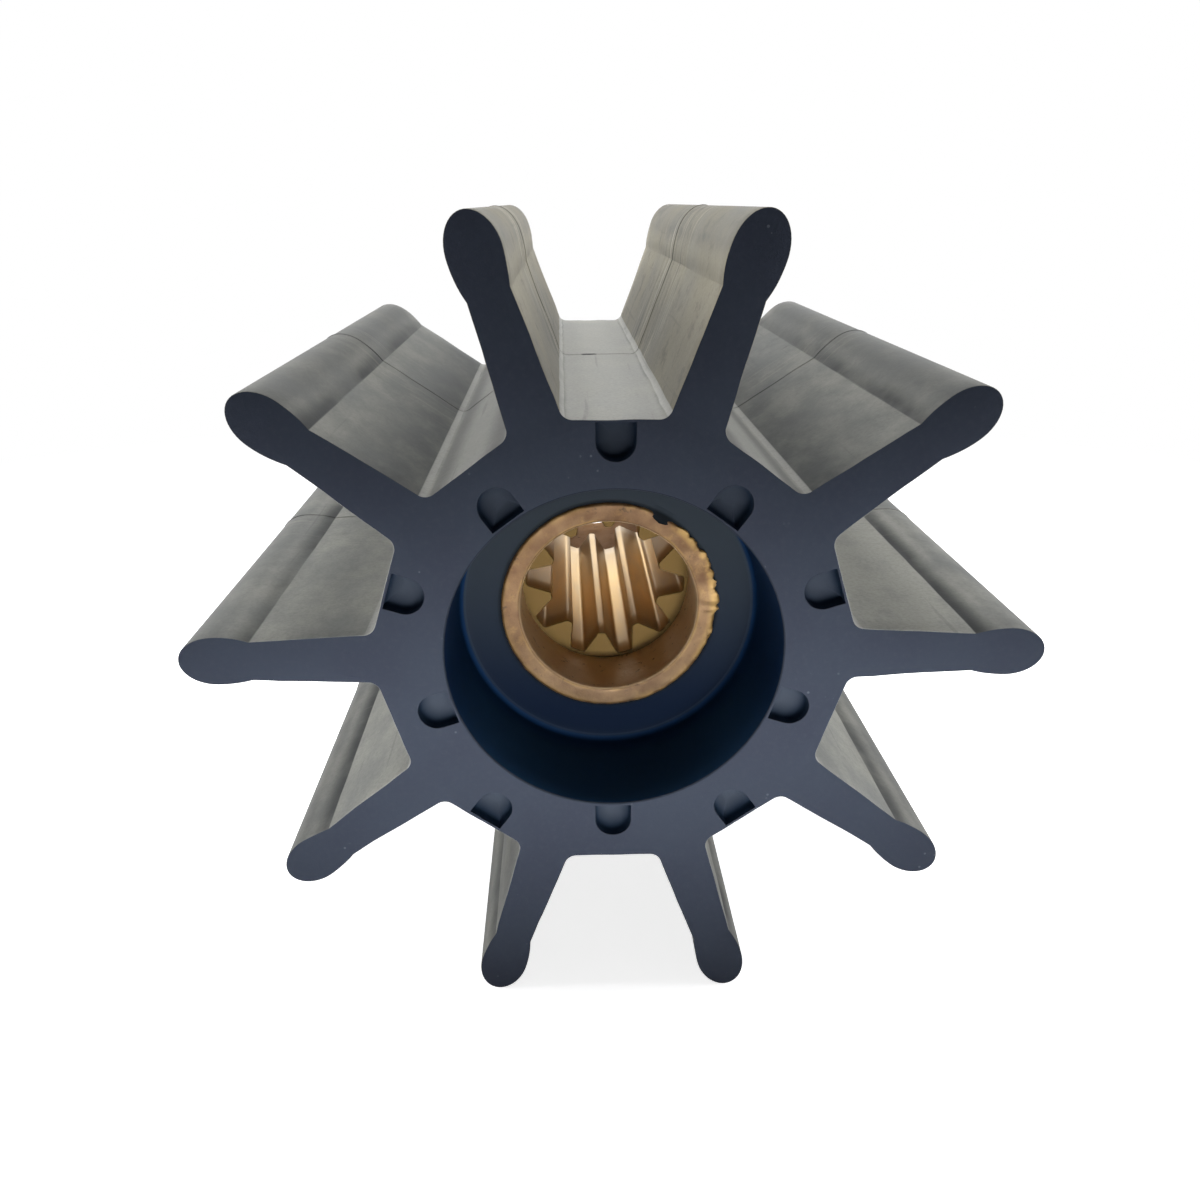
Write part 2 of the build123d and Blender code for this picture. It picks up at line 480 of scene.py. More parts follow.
def recess_rubber(sizes):
    """Recess walls, recess floor and pockets: smooth dark rubber from the mould's core, with
    painted light and shade.
    """
    f = Finish("recess_rubber", sizes.recess_colour)
    f.coat(RECESS_CLOUD, f.grain(140, 4, 0.6), 0.6)
    # Painted light low in the front recess makes its wall paler there.
    low = f.ease(f.z, -3 * MM, -16 * MM)
    f.coat(PAINTED_LOW_WALL_LIGHT, low, f.ease(f.y, -32 * MM, -38 * MM), 0.85)
    # The pockets are greyer than the recess, and painted light makes their bottoms paler.
    rim = sizes.recess_radius
    along = f.work("ABSOLUTE", f.y)
    pocket = f.ease(f.radius, rim, rim + 0.2 * MM)
    f.coat(POCKET_GREY, pocket, 0.85)
    bottom = END - sizes.pocket_depth
    painted_light = f.ease(along, bottom + 1.7 * MM, bottom + 0.1 * MM, 0.0, 0.9)
    f.coat(PAINTED_POCKET_FLOOR_LIGHT, painted_light, pocket)
    # Painted light makes the recess floor paler than the walls round it, with painted shade low
    # down.
    height = f.ease(f.z, -15 * MM, 15 * MM)
    painted_light = f.blend(height, SHADED_LOW_RECESS_FLOOR, LIT_HIGH_RECESS_FLOOR)
    f.coat(painted_light, f.ease(f.radius, rim - 0.75 * MM, rim - 0.95 * MM))
    # Painted shade: a dark line in the gap round the insert.
    beside = f.ease(f.radius, INSERT_HIGH.x + 0.55 * MM, INSERT_HIGH.x + 0.1 * MM)
    f.coat(PAINTED_GAP_SHADE, beside, 0.8)
    # A painted highlight: a lighter ring where the wall's rounding meets the floor.
    ring = f.ease(f.apart(f.radius, rim - 1.0 * MM), 0.22 * MM, 0.05 * MM)
    f.coat(PAINTED_RING_HIGHLIGHT, ring, 0.3)
    # The lip is ground away with the end face.
    f.coat(GROUND_LIP, f.ease(along, END - 0.35 * MM, END - 0.1 * MM))
    f.bump(f.grain(300, 3), 0.1 * MM, 0.3)
    f.bump(f.grain(2200, 3), 0.02 * MM, 0.5)
    return f.close(0.62, specular=0.04)


def cast_bronze(sizes):
    """Rim and counterbores: cast bronze, worn bright along its edges, stained in places, with
    painted shade on the far counterbore's wall.
    """
    f = Finish("cast_bronze", sizes.bronze_colour)
    clouds = f.grain(300, 5, 0.65)
    f.coat(sizes.stain_colour, f.ease(clouds, 0.3, 0.72))
    bore = sizes.counterbore_radius
    wall = f.ease(f.radius, bore + 0.2 * MM, bore + 0.02 * MM)
    f.coat(BORE_BRONZE, wall, 0.9)
    # Painted shade on the far counterbore's wall.
    far = f.ease(f.y, sizes.spline_half - 1 * MM, sizes.spline_half)
    f.coat(SHADED_FAR_BORE_BRONZE, wall, far, 0.9)
    rim = f.ease(f.radius, bore + 0.1 * MM, bore + 0.3 * MM)
    # Worn edges, brightest along the outer edge on the +X side.
    outer = f.ease(f.radius, sizes.outer_radius - 1.1 * MM, sizes.outer_radius - 0.2 * MM)
    outer = f.times(outer, f.ease(f.x, 0.0, 9 * MM, 0.35, 1.0))
    inner = f.times(f.ease(f.radius, bore + 0.55 * MM, bore + 0.1 * MM), rim)
    worn = f.ease(f.grain(260, 4, 0.65), 0.40, 0.58)
    edges = f.times(f.work("MAXIMUM", outer, inner), worn)
    scuffs = f.times(f.ease(f.grain(420, 6, 0.75), 0.50, 0.70, 0.0, 0.4), rim)
    f.coat(sizes.scuff_colour, f.work("MAXIMUM", scuffs, edges), 0.42)
    f.coat(LOW_RIM_BRONZE, f.ease(f.z, 6 * MM, -13 * MM, 0.0, 0.45), rim)
    stains = f.ease(f.grain(800, 5, 0.7, f.stretched(1, 1, 1, 0.7)), 0.60, 0.70)
    f.coat(sizes.tarnish_colour, stains, 0.8)
    f.bump(f.grain(1800, 4, 0.65), 0.06 * MM, 0.9)
    f.bump(f.grain(420, 3), 0.15 * MM, 0.6)
    rough = f.ease(clouds, 0.3, 0.7, 0.48, 0.64)
    rough = f.work("MULTIPLY_ADD", f.times(wall, far), 0.3, rough)
    return f.close(rough, metallic=0.55)


def cut_bronze(sizes):
    """Spline teeth: cut bronze, bright along the crests and gaps and dull at the ends."""
    f = Finish("cut_bronze", sizes.tooth_colour)
    clouds = f.grain(260, 4, 0.6, f.stretched(1.0, 0.2, 1.0))
    f.coat(DULL_TOOTH, f.ease(clouds, 0.35, 0.7))
    along = f.work("ABSOLUTE", f.y)
    f.coat(sizes.tarnish_colour, f.ease(along, 6 * MM, 21 * MM, 0.0, 0.42))
    ends = f.ease(along, sizes.spline_half - 0.2 * MM, sizes.spline_half - 0.02 * MM)
    f.coat(sizes.end_colour, ends)
    f.bump(f.grain(5000, 2, 0.5, f.stretched(1.0, 0.03, 1.0)), 0.005 * MM, 0.4)
    f.bump(f.grain(400, 2, 0.5, f.stretched(1.0, 0.12, 1.0)), 0.06 * MM, 0.4)
    rough = f.work("MULTIPLY_ADD", ends, 0.25, 0.38)
    return f.close(rough, metallic=0.85)


# ---------------------------------------------------------------- flat outlines
def polar(radius, angle):
    return Vector((radius * math.cos(angle), radius * math.sin(angle)))


def divided(start, end, steps):
    """Points from start up to, but not including, end."""
    return [start.lerp(end, step / steps) for step in range(steps)]


def rounded_corner(before, corner, after, radius, steps):
    """The points of an arc that rounds a corner."""
    to_before = (before - corner).normalized()
    to_after = (after - corner).normalized()
    half = to_before.angle(to_after) / 2
    middle = corner + (to_before + to_after).normalized() * radius / math.sin(half)
    start = corner + to_before * radius / math.tan(half) - middle
    end = corner + to_after * radius / math.tan(half) - middle
    turn = start.angle_signed(end)
    return [
        middle + Matrix.Rotation(-turn * step / steps, 2) @ start for step in range(steps + 1)
    ]


def mirrored(half):
    """An outline from its lower half: half runs up to the axis of symmetry."""
    return half + [Vector((p.x, -p.y)) for p in reversed(half[:-1])]


def blade_outline(sizes):
    """Outline of one blade along +X, from the middle of one valley to the next."""
    pitch = math.radians(360 / sizes.blade_count)
    neck = Vector((sizes.tip_radius - sizes.neck_to_tip, -sizes.neck_thickness / 2))
    crest = Vector((sizes.tip_radius - sizes.bulb_to_tip, -sizes.bulb_thickness / 2))
    foot = Vector((sizes.flat_radius, -sizes.root_thickness / 2))
    valley = polar(sizes.flat_radius, -pitch / 2)
    along_floor = polar(1, -pitch / 2).orthogonal()
    if along_floor.y < 0:
        along_floor = -along_floor
    # Where the valley floor would meet the blade's flank without a fillet.
    flank = (neck - foot).normalized()
    gap = foot - valley
    across = along_floor.x * flank.y - along_floor.y * flank.x
    corner = valley + along_floor * ((gap.x * flank.y - gap.y * flank.x) / across)
    fillet = rounded_corner(valley, corner, neck, sizes.root_fillet, 8)
    half = divided(valley, fillet[0], 5) + fillet[:-1] + divided(fillet[-1], neck, 8)
    # The swell is an arc that leaves the crest level and meets the neck at a crease.
    run, lift = crest.x - neck.x, neck.y - crest.y
    swell = (run * run + lift * lift) / (2 * lift)
    for step in range(7):
        x = neck.x + run * step / 7
        y = crest.y + swell - math.sqrt(swell * swell - (crest.x - x) ** 2)
        half.append(Vector((x, y)))
    for step in range(13):
        angle = math.pi / 2 * step / 12
        half.append(Vector((
            crest.x + sizes.bulb_to_tip * math.sin(angle), crest.y * math.cos(angle)
        )))
    return mirrored(half)


def tooth_outline(sizes):
    """The hole's outline for one tooth along +X, from gap middle to gap middle."""
    pitch = math.radians(360 / sizes.tooth_count)
    base = Vector((sizes.major_radius, -sizes.base_width / 2))
    base = base.normalized() * sizes.major_radius
    crest = Vector((sizes.minor_radius, -sizes.crest_width / 2))
    start = polar(sizes.major_radius, -pitch / 2)
    gap = rounded_corner(start, base, crest, sizes.gap_rounding, 4)
    top = rounded_corner(base, crest, Vector((crest.x, 0)), sizes.crest_rounding, 5)
    half = divided(start, gap[0], 3) + gap[:-1] + divided(gap[-1], top[0], 6) + top
    half.append(Vector((sizes.minor_radius, 0)))
    return mirrored(half)


def offset_outline(outline, distance):
    """The outline moved by distance to its left, where its ends move towards the shaft."""
    moved = [outline[0] - outline[0].normalized() * distance]
    for before, point, after in zip(outline, outline[1:], outline[2:]):
        along = (after - before).normalized()
        moved.append(point + Vector((-along.y, along.x)) * distance)
    moved.append(outline[-1] - outline[-1].normalized() * distance)
    return moved


# ---------------------------------------------------------------------- shapes
class Shape:
    """Points and faces of one piece, gathered before its mesh is made."""

    def __init__(self):
        self.points = []
        self.faces = []

    def row(self, outline, y):
        """Adds an outline at one place along the shaft and gives its point numbers."""
        first = len(self.points)
        self.points += [(p.x, y, p.y) for p in outline]
        return list(range(first, len(self.points)))

    def skin(self, rows, closed=False):
        """Joins rows of equal length with four-sided faces."""
        for low, high in zip(rows, rows[1:]):
            last = len(low) if closed else len(low) - 1
            for index in range(last):
                beside = (index + 1) % len(low)
                self.faces.append((low[index], high[index], high[beside], low[beside]))

    def piece(self, name):
        mesh = bpy.data.meshes.new(name)
        mesh.from_pydata(self.points, [], self.faces)
        mesh.validate()
        return put(name, mesh)


def stations(sizes):
    """Places along the body where its outline is repeated, with the seam's own ridge."""
    seam, width = sizes.seam_place, sizes.seam_width
    ends = []
    for turn in (0, 30, 60, 90):
        turn = math.radians(turn)
        ends.append((END - sizes.end_rounding * (1 - math.cos(turn)),
                     -sizes.end_rounding * (1 - math.sin(turn))))
    places = [(-y, inset) for y, inset in ends]
    steps = 13
    for step in range(1, steps):
        places.append((-END + (END + seam - width) * step / steps, 0.0))
    places += [(seam - width / 2, 0.0), (seam - width / 5, sizes.seam_height)]
    places += [(seam + width / 5, sizes.seam_height), (seam + width / 2, 0.0)]
    for step in range(1, steps):
        places.append((seam + width + (END - seam - width) * step / steps, 0.0))
    return places + list(reversed(ends))


def blade_sector(sizes):
    """One blade with half a valley on either side, closed inside by the recess walls."""
    shape = Shape()
    outline = blade_outline(sizes)
    rows = [
        shape.row(offset_outline(outline, -proud), y) for y, proud in stations(sizes)
    ]
    shape.skin(rows)
    pitch = math.radians(360 / sizes.blade_count)
    turns = [pitch * (step / 10 - 0.5) for step in range(11)]
    inner = [
        shape.row([polar(radius, turn) for turn in turns], y)
        for radius, y in recess_section(sizes)
    ]
    shape.skin([list(reversed(row)) for row in inner])
    shape.faces.append(rows[0] + list(reversed(inner[0])))
    shape.faces.append(list(reversed(rows[-1])) + inner[-1])
    return shape.piece("blade_sector")


def recess_section(sizes):
    """Radius and place of every ring from the front recess's lip to the back one's."""
    section = []
    rim, lip = sizes.recess_radius, 0.18 * MM
    lips = [Vector((rim + lip, END)),
            Vector((rim + 0.3 * lip, END - 0.3 * lip)),
            Vector((rim, END - lip))]
    for side, depth in ((-1, sizes.front_recess), (1, sizes.back_recess)):
        corner = Vector((rim - depth * math.tan(sizes.recess_draft), END - depth))
        inside = Vector((INSERT_HIGH.x, END - depth))
        arc = rounded_corner(lips[-1], corner, inside, sizes.recess_corner, 7)
        wall = lips[:-1] + divided(lips[-1], arc[0], 6) + arc
        floor = divided(wall[-1], inside, 5)[1:] + [inside]
        ring = [(p.x, side * p.y) for p in wall + floor]
        section += ring if side < 0 else list(reversed(ring))
    return section


def pocket_cutter(sizes, round_end, square_end, name):
    """The shapes that cut one pocket into both end faces, along +X, with a soft bottom."""
    reach = sizes.pocket_width / 2
    way = 1 if square_end > round_end else -1
    middle = Vector((round_end + way * reach, 0))
    lip = 0.08 * MM
    levels = [(-3 * lip, 4 * lip), (0.3 * lip, 0.3 * lip), (lip, 0.0)]
    rounding = sizes.pocket_rounding
    for step in range(9):
        angle = math.pi / 2 * step / 8
        levels.append((
            sizes.pocket_depth - rounding * (1 - math.sin(angle)),
            -rounding * (1 - math.cos(angle)),
        ))
    shape = Shape()
    for side in (-1, 1):
        rows = []
        for depth, spread in levels:
            radius = reach + spread
            edge = square_end + way * min(spread, 0.0)
            outline = [Vector((edge, -way * radius)), Vector((edge, way * radius))]
            for step in range(16):
                turn = way * math.pi / 2 + math.pi * step / 15
                outline.append(middle + polar(radius, turn))
            rows.append(shape.row(outline, side * (END - depth)))
        ordered = rows if side < 0 else [list(reversed(row)) for row in rows]
        shape.skin(ordered, closed=True)
        shape.faces.append(list(ordered[0]))
        shape.faces.append(list(reversed(ordered[-1])))
    return shape.piece(name)


def tooth_sector(sizes):
    """One tooth's share of the insert: bore, counterbores, rims and outer wall."""
    shape = Shape()
    outline = tooth_outline(sizes)
    count = len(outline)
    pitch = math.radians(360 / sizes.tooth_count)
    turns = [pitch * (step / (count - 1) - 0.5) for step in range(count)]

    def ring(radius, y):
        return shape.row([polar(radius, turn) for turn in turns], y)

    outer, bore = sizes.outer_radius, sizes.counterbore_radius
    front, back, half = INSERT_LOW.y, INSERT_HIGH.y, sizes.spline_half
    worn = sizes.rim_rounding

    def rim(edge, into):
        """Radius and place of each ring across a rim, from its outer wall to its bore."""
        quarter = [math.radians(22.5 * step) for step in range(5)]
        rounding = [(worn * (1 - math.cos(turn)), edge + into * worn * (1 - math.sin(turn)))
                    for turn in quarter]
        across = [(outer - worn + (bore + 2 * worn - outer) * step / 5, edge)
                  for step in range(1, 5)]
        return ([(outer - inset, y) for inset, y in rounding] + across
                + [(bore + inset, y) for inset, y in reversed(rounding)])

    rows = [ring(outer, 0.0)]
    rows += [ring(radius, y) for radius, y in rim(front, 1)]
    rows += [ring(bore, front + (-half - front) * step / 5) for step in range(1, 6)]
    bevelled, bevel = offset_outline(outline, -0.12 * MM), 0.25 * MM
    rows += [shape.row(bevelled, -half), shape.row(outline, -half + bevel)]
    rows += [shape.row(outline, -half + 2 * half * step / 12) for step in range(1, 12)]
    rows += [shape.row(outline, half - bevel), shape.row(bevelled, half)]
    rows += [ring(bore, half + (back - half) * step / 8) for step in range(8)]
    rows += [ring(radius, y) for radius, y in reversed(rim(back, -1))]
    rows.append(rows[0])
    shape.skin([list(reversed(row)) for row in rows])
    return shape.piece("tooth_sector")


# --------------------------------------------------------------- geometry trees
class Layout(Bench):
    """A Geometry Nodes tree with named inputs, run once on a piece and then removed."""

    def __init__(self, name):
        super().__init__(bpy.data.node_groups.new(name, "GeometryNodeTree"))
        self.values = {}
        for way in ("INPUT", "OUTPUT"):
            self.socket("Geometry", "Geometry", way)
        self.inlet = self.add("NodeGroupInput")

    def socket(self, name, kind, way="INPUT"):
        return self.tree.interface.new_socket(
            name, in_out=way, socket_type=f"NodeSocket{kind}"
        ).identifier

    def take(self, **kinds):
        """Named inputs by kind, each with the value that the tree is run with."""
        for kind, values in kinds.items():
            for name, value in values.items():
                self.values[self.socket(name, kind)] = value

    def given(self, name):
        return self.inlet.outputs[name]

    def round_the_shaft(self, shape, count, start):
        """Instances of a shape round the Y axis, counted from +X towards +Z."""
        points = self.made("GeometryNodePoints", {"Count": count})
        index = self.made("GeometryNodeInputIndex")
        turn = self.work("MULTIPLY_ADD", index, self.work("DIVIDE", math.tau, count), start)
        turn = self.made("FunctionNodeAxisAngleToRotation", {"Axis": (0, -1, 0), "Angle": turn})
        return self.made(
            "GeometryNodeInstanceOnPoints",
            {"Points": points, "Instance": shape, "Rotation": turn},
        )

    def full_round(self, count, start=0.0):
        """The piece repeated round the shaft and fused into one skin."""
        ring = self.round_the_shaft(self.given("Geometry"), count, start)
        ring = self.made("GeometryNodeRealizeInstances", {0: ring})
        return self.made(
            "GeometryNodeMergeByDistance", {"Geometry": ring, "Distance": 0.01 * MM}
        )

    def round_parts(self):
        """A point's place, its distance from the shaft and the way outwards from it."""
        place = self.made("GeometryNodeInputPosition")
        flat = self.vector("MULTIPLY", place, (1, 0, 1))
        return place, self.vector("LENGTH", flat), self.vector("NORMALIZE", flat)

    def moved(self, shape, way, amount):
        """The shape with its points moved by an amount along a way."""
        step = self.made("ShaderNodeVectorMath", {0: way, "Scale": amount}, operation="SCALE")
        return self.made("GeometryNodeSetPosition", {0: shape, "Offset": step})

    def painted(self, shape, finish, where=True):
        """The shape with a finish on the faces that are picked."""
        return self.made(
            "GeometryNodeSetMaterial",
            {0: shape, "Selection": where, "Material": self.given(finish)},
        )

    def run(self, geometry, piece, name):
        """Ends the tree, runs it on the piece and gives the plain result."""
        outlet = self.add("NodeGroupOutput")
        self.feed(outlet.inputs[0], geometry)
        modifier = piece.modifiers.new(name, "NODES")
        modifier.node_group = self.tree
        for identifier, value in self.values.items():
            modifier[identifier] = value
        settled = piece.evaluated_get(bpy.context.evaluated_depsgraph_get())
        mesh = bpy.data.meshes.new_from_object(settled)
        mesh.name = name
        piece.modifiers.clear()
        bpy.data.objects.remove(piece)
        return put(name, mesh)


def body_layout(sizes, outward, inward, finishes):
    """Repeats the blade sector, cuts the end-face pockets and gives out the finishes."""
    t = Layout("impeller_body")
    t.take(
        Int={"Blades": sizes.blade_count},
        Object={"Outward pocket": outward, "Inward pocket": inward},
        Float={
            "Valley radius": sizes.flat_radius,
            "End face": END,
            "Unevenness": sizes.unevenness,
            "Insert radius": INSERT_HIGH.x + 0.05 * MM,
            "Creep": sizes.creep,
            "Creep place": sizes.creep_place,
        },
        Material=finishes,
    )
    count = t.given("Blades")
    star = t.full_round(count)
    # The skin strays a little from its form, apart from the recesses and the tips.
    place, radius, outwards = t.round_parts()
    stray = t.add("ShaderNodeTexNoise", {
        "Vector": place, "Scale": 110.0, "Detail": 2.0, "Roughness": 0.6
    }).outputs["Color"]
    stray = t.vector("MULTIPLY", t.vector("SUBTRACT", stray, (0.5, 0.5, 0.5)), (3, 0, 3))
    skin = t.times(t.ease(radius, 20 * MM, 24 * MM), t.ease(radius, 45 * MM, 41 * MM))
    star = t.moved(star, stray, t.times(skin, t.given("Unevenness")))
    # Rubber that has crept over the insert's rim at one place.
    x, y, z = t.add("ShaderNodeSeparateXYZ", {0: place}).outputs
    turn = t.work("ARCTAN2", z, x)
    here = t.times(
        t.ease(t.apart(turn, t.given("Creep place")), 0.17, 0.02),
        t.work("LESS_THAN", radius, t.given("Insert radius")),
        t.work("LESS_THAN", y, 0.0),
    )
    star = t.moved(star, outwards, t.times(here, t.given("Creep"), -1))
    star = t.moved(star, (0.0, -0.7 * MM, 0.0), here)
    # Pockets in both end faces, beside a valley floor and beside the recess by turns.
    cut = t.add("GeometryNodeMeshBoolean", {0: star}, operation="DIFFERENCE",
                solver="MANIFOLD")
    half_step = t.work("DIVIDE", math.pi, count)
    for name, halves in (("Outward pocket", 1), ("Inward pocket", 3)):
        shape = t.add("GeometryNodeObjectInfo", {"Object": t.given(name)}).outputs["Geometry"]
        cutters = t.round_the_shaft(shape, t.work("DIVIDE", count, 2), t.times(half_step, halves))
        t.feed(cut.inputs["Mesh 2"], cutters)
    body = t.made("GeometryNodeRealizeInstances", {0: cut.outputs[0]})
    within = t.work("SUBTRACT", t.given("Valley radius"), 0.27 * MM)
    level = t.work("SUBTRACT", t.given("End face"), 0.01 * MM)
    body = t.painted(body, "Moulded")
    body = t.painted(body, "Recess", t.work("LESS_THAN", radius, within))
    at_end = t.work("GREATER_THAN", t.work("ABSOLUTE", y), level)
    return t, t.painted(body, "Ground", at_end)


def insert_layout(sizes, finishes):
    """Repeats the tooth sector, wears the rims and gives out the finishes."""
    t = Layout("splined_insert")
    t.take(
        Int={"Teeth": sizes.tooth_count},
        Float={
            "Phase": sizes.spline_phase - math.pi / 2,
            "Rim wear": sizes.rim_wear,
            "Flash": sizes.flash,
            "End": -INSERT_LOW.y,
            "Spline half length": sizes.spline_half,
        },
        Material=finishes,
    )
    ring = t.full_round(t.given("Teeth"), t.given("Phase"))
    place, radius, outwards = t.round_parts()
    x, y, z = t.add("ShaderNodeSeparateXYZ", {0: place}).outputs
    along = t.work("ABSOLUTE", y)
    at_rim = t.times(
        t.ease(along, t.work("SUBTRACT", t.given("End"), 0.6 * MM), t.given("End")),
        t.ease(radius, sizes.counterbore_radius, sizes.outer_radius),
    )
    noise = t.made("ShaderNodeTexNoise", {
        "Vector": place, "Scale": 520.0, "Detail": 4.0, "Roughness": 0.65
    })
    wear = t.times(t.work("SUBTRACT", noise, 0.5), at_rim, 3.0, t.given("Rim wear"))
    # Torn flash along one side of the front rim.
    torn = t.times(
        t.ease(t.apart(t.work("ARCTAN2", z, x), 0.30), 0.75, 0.35),
        t.work("LESS_THAN", y, 0.0),
        t.ease(noise, 0.42, 0.60),
        at_rim,
        t.given("Flash"),
    )
    ring = t.moved(ring, outwards, t.work("ADD", wear, torn))
    ring = t.moved(ring, (0.0, -0.3, 0.0), t.work("ADD", t.work("ABSOLUTE", wear), torn))
    teeth_end = t.work("ADD", t.given("Spline half length"), 0.04 * MM)
    at_teeth = t.work("LESS_THAN", along, teeth_end)
    return t, t.painted(t.painted(ring, "Cast"), "Cut", at_teeth)


# -------------------------------------------------------------------- finishing
def settle(piece, node, sharp):
    """Gives a finished piece its shading and its body, and hides the CAD node it stands for."""
    piece.data.shade_smooth()
    piece.data.set_sharp_from_angle(angle=math.radians(sharp))
    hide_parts(node)
    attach(piece, "root")


def check_closed(piece):
    """Stops with an error where the piece isn't one closed skin that points outwards."""
    shell = bmesh.new()
    shell.from_mesh(piece.data)
    loose = [edge for edge in shell.edges if not edge.is_manifold]
    volume = shell.calc_volume(signed=True)
    shell.free()
    if loose or volume <= 0:
        raise RuntimeError(f"{piece.name}: {len(loose)} open edges, volume {volume}")


class IMPELLER_OT_rubber_body(bpy.types.Operator):
    """Build the rubber body with its blades, recesses and pockets"""

    bl_idname = "impeller.rubber_body"
    bl_label = "Rubber body"

    def execute(self, context):
        sizes = context.scene.impeller_body
        blade = blade_sector(sizes)
        long, web = sizes.pocket_length, sizes.pocket_web
        valley, rim = sizes.flat_radius, sizes.recess_radius
        outward = pocket_cutter(sizes, valley - long, valley - web, "outward_pocket")
        inward = pocket_cutter(sizes, rim + long, rim + web, "inward_pocket")
        finishes = {
            "Moulded": moulded_rubber(sizes),
            "Ground": ground_rubber(sizes),
            "Recess": recess_rubber(sizes),
        }
        layout, result = body_layout(sizes, outward, inward, finishes)
        body = layout.run(result, blade, "impeller_body")
        for cutter in (outward, inward):
            bpy.data.objects.remove(cutter)
        check_closed(body)
        settle(body, "rubber_body", 17)
        return {"FINISHED"}


class IMPELLER_OT_bronze_insert(bpy.types.Operator):
    """Build the bronze insert with its splined bore"""

    bl_idname = "impeller.bronze_insert"
    bl_label = "Bronze insert"

    def execute(self, context):
        sizes = context.scene.impeller_insert
        tooth = tooth_sector(sizes)
        finishes = {"Cast": cast_bronze(sizes), "Cut": cut_bronze(sizes)}
        layout, result = insert_layout(sizes, finishes)
        insert = layout.run(result, tooth, "bronze_insert")
        check_closed(insert)
        settle(insert, "splined_insert", 30)
        return {"FINISHED"}


def soft_lamp(name, place, size, watts, target=(0, 0, 0)):
    """A large soft lamp that looks at a point."""
    light = bpy.data.lights.new(name, "AREA")
    light.shape = "DISK"
    light.size = size
    light.energy = watts
    lamp = put(name, light)
    lamp.location = place
    lamp.rotation_euler = (Vector(target) - Vector(place)).to_track_quat("-Z", "Y").to_euler()
    return light


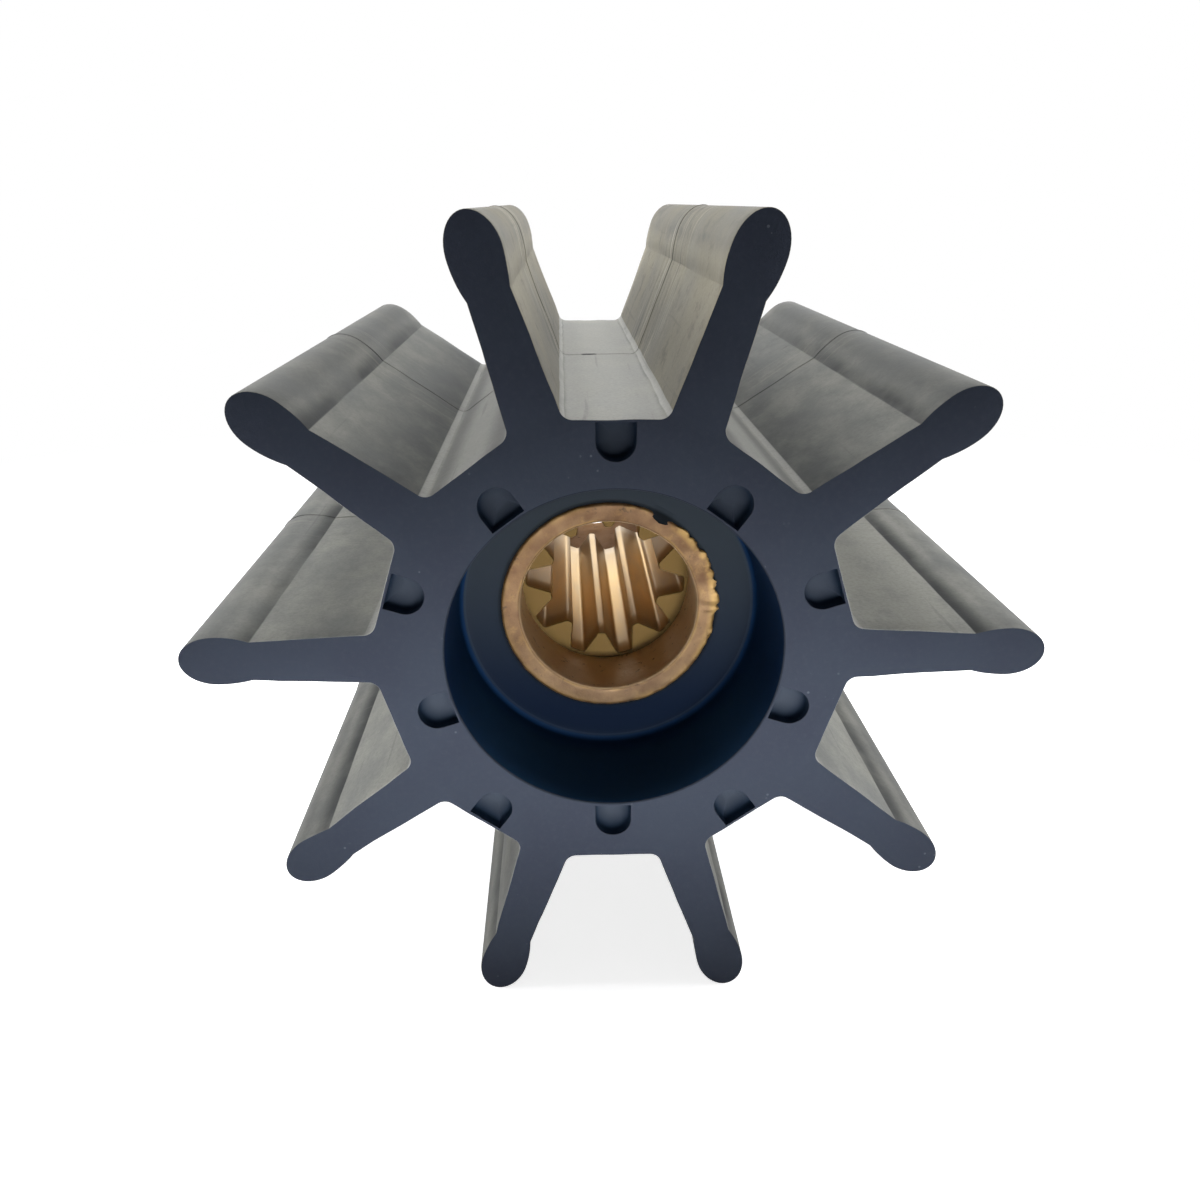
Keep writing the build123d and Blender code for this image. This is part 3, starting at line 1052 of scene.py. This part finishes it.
class IMPELLER_OT_stage(bpy.types.Operator):
    """Build the white floor, the soft lamps and the camera"""

    bl_idname = "impeller.stage"
    bl_label = "Stage"

    def execute(self, context):
        stage = context.scene.impeller_stage
        self.floor(stage)
        self.room(context.scene, stage)
        soft_lamp("top_lamp", (0.0, 0.12, 0.60), 0.4, stage.top_lamp)
        soft_lamp("left_lamp", (-0.60, 0.08, 0.20), 0.4, stage.side_lamps)
        soft_lamp("right_lamp", (0.60, 0.08, 0.20), 0.4, stage.side_lamps)
        soft_lamp("back_lamp", (0.0, 0.50, 0.20), 0.45, stage.back_lamp)
        # A low strip in front lights the lower half of the end face.
        target = (0, BODY_LOW.y, -0.010)
        strip = soft_lamp("front_lamp", (0.01, -0.30, -0.025), 0.13, stage.front_lamp, target)
        strip.shape = "ELLIPSE"
        strip.size_y = 0.03
        strip.spread = math.radians(17)
        self.camera(context.scene)
        context.scene.view_settings.view_transform = "Standard"
        return {"FINISHED"}

    def floor(self, stage):
        mesh = bpy.data.meshes.new("floor")
        side = 4.0
        corners = [(-side, -side), (side, -side), (side, side), (-side, side)]
        mesh.from_pydata([(x, y, BODY_LOW.z) for x, y in corners], [], [(0, 1, 2, 3)])
        floor = put("floor", mesh)
        material = bpy.data.materials.new("studio_floor")
        b = Bench(empty_tree(material))
        rough = b.made("ShaderNodeBsdfDiffuse", {"Color": tint(stage.floor_colour)})
        seen = b.add("ShaderNodeLightPath").outputs
        lit = b.work("MAXIMUM", seen["Is Camera Ray"], seen["Is Glossy Ray"])
        lit = b.work("MAXIMUM", lit, seen["Is Transmission Ray"])
        glow = b.made("ShaderNodeEmission", {"Strength": b.times(lit, stage.floor_lift)})
        near = b.made("ShaderNodeAddShader", {0: rough, 1: glow})
        place = b.add("ShaderNodeTexCoord").outputs["Object"]
        away = b.ease(b.vector("LENGTH", place), 0.12, 0.34)
        white = b.made("ShaderNodeEmission", {"Strength": 1.0})
        both = b.made("ShaderNodeMixShader", {0: b.times(away, lit), 1: near, 2: white})
        b.add("ShaderNodeOutputMaterial", {0: both})
        mesh.materials.append(material)

    def room(self, scene, stage):
        world = bpy.data.worlds.new("room")
        scene.world = world
        b = Bench(empty_tree(world))
        seen = b.add("ShaderNodeLightPath").outputs
        bright = b.work("MAXIMUM", seen["Is Camera Ray"], seen["Is Transmission Ray"])
        # The room is lit from behind and above, and darker in front.
        way = b.add("ShaderNodeTexCoord").outputs["Object"]
        way = b.add("ShaderNodeSeparateXYZ", {0: way}).outputs
        rear = b.work("MULTIPLY_ADD", way[1], 0.8, b.times(way[2], 0.6))
        rear = b.ease(rear, -0.3, 0.6, stage.front_shade, 1.0)
        mirrored_room = b.times(seen["Is Glossy Ray"], b.work("MULTIPLY_ADD", rear, 0.6, 0.4))
        strength = b.work("MAXIMUM", bright, mirrored_room)
        strength = b.work("MAXIMUM", strength, b.times(rear, stage.room_light))
        back = b.made("ShaderNodeBackground", {"Color": (1, 1, 1, 1), "Strength": strength})
        b.add("ShaderNodeOutputWorld", {0: back})

    def camera(self, scene):
        lens = bpy.data.cameras.new("camera")
        lens.lens = 31.764
        lens.sensor_width = 36
        lens.shift_x = 0.01456
        lens.shift_y = 0.04587
        lens.clip_start = 0.01
        lens.clip_end = 20
        camera = put("camera", lens)
        camera.location = (-5.569 * MM, -154.373 * MM, 45.858 * MM)
        camera.rotation_euler = [math.radians(turn) for turn in (66.782, 0.269, -1.229)]
        scene.camera = camera


class IMPELLER_PT_panel(bpy.types.Panel):
    """Lists the pieces of the impeller and their sizes"""

    bl_idname = "IMPELLER_PT_panel"
    bl_label = "Pump impeller"
    bl_space_type = "VIEW_3D"
    bl_region_type = "UI"
    bl_category = "Impeller"

    def draw(self, context):
        groups = (
            ("impeller.rubber_body", context.scene.impeller_body),
            ("impeller.bronze_insert", context.scene.impeller_insert),
            ("impeller.stage", context.scene.impeller_stage),
        )
        for operator, group in groups:
            box = self.layout.box()
            box.operator(operator)
            for name in group.__annotations__:
                box.prop(group, name)


CLASSES = (
    RubberBodySizes,
    BronzeInsertSizes,
    StageSettings,
    IMPELLER_OT_rubber_body,
    IMPELLER_OT_bronze_insert,
    IMPELLER_OT_stage,
    IMPELLER_PT_panel,
)


def register():
    for entry in CLASSES:
        bpy.utils.register_class(entry)
    scene = bpy.types.Scene
    scene.impeller_body = bpy.props.PointerProperty(type=RubberBodySizes)
    scene.impeller_insert = bpy.props.PointerProperty(type=BronzeInsertSizes)
    scene.impeller_stage = bpy.props.PointerProperty(type=StageSettings)


def unregister():
    scene = bpy.types.Scene
    del scene.impeller_stage, scene.impeller_insert, scene.impeller_body
    for entry in reversed(CLASSES):
        bpy.utils.unregister_class(entry)


def main():
    """Builds every piece."""
    register()
    bpy.ops.impeller.rubber_body()
    bpy.ops.impeller.bronze_insert()
    bpy.ops.impeller.stage()


if __name__ == "__main__":
    main()
